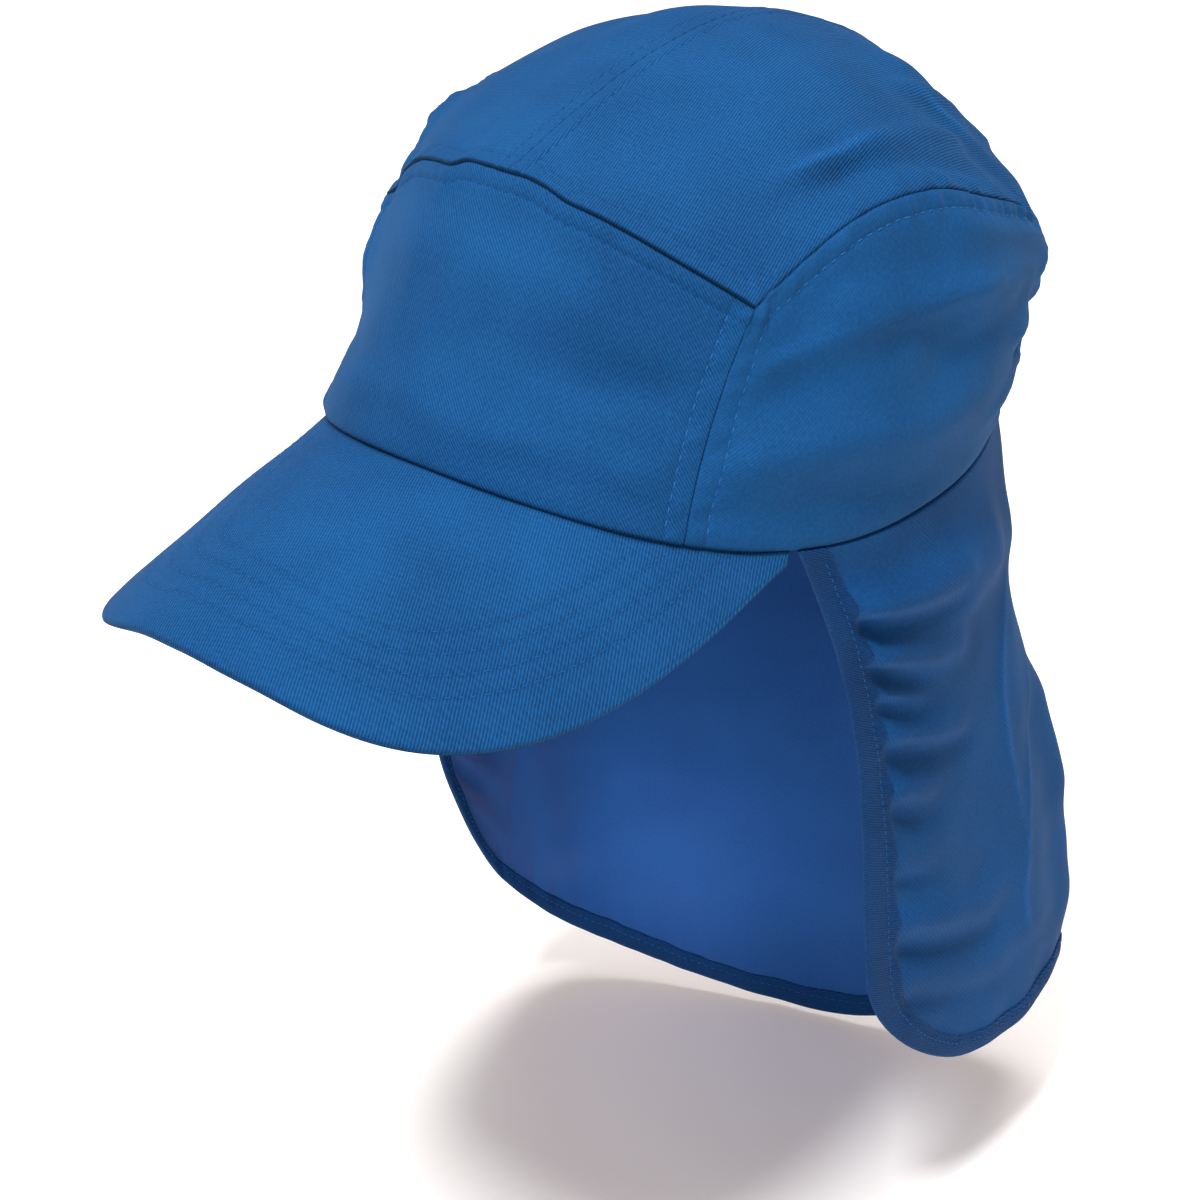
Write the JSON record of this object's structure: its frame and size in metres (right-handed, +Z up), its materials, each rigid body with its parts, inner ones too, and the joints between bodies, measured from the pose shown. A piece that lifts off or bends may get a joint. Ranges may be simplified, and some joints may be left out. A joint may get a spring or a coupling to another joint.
{
  "type": "legionnaire cap",
  "caption": "Soft cotton cap with a curved peak in front and a bound neck flap that hangs from the rim round the sides and back.",
  "frame": {"origin": "middle of the head opening at the mean height of its rim, where the cap sits on the head", "axes": "+Z up out of the top of the crown, -Y towards the front of the peak, +X towards the wearer's left"},
  "size_m": [0.1805, 0.2819, 0.3679],
  "materials": {
    "crown_twill": "matte cotton twill, royal blue",
    "peak_twill": "matte cotton twill over a stiff board, royal blue",
    "flap_twill": "matte cotton twill, royal blue",
    "binding_tape": "matte ribbed cotton tape, royal blue"
  },
  "bodies": {
    "root": {"front_panel": "crown_twill", "top_panel_left": "crown_twill", "top_panel_right": "crown_twill", "side_panel_left": "crown_twill", "side_panel_right": "crown_twill", "peak": "peak_twill", "neck_flap": "flap_twill", "flap_binding": "binding_tape"}
  },
  "joints": []
}
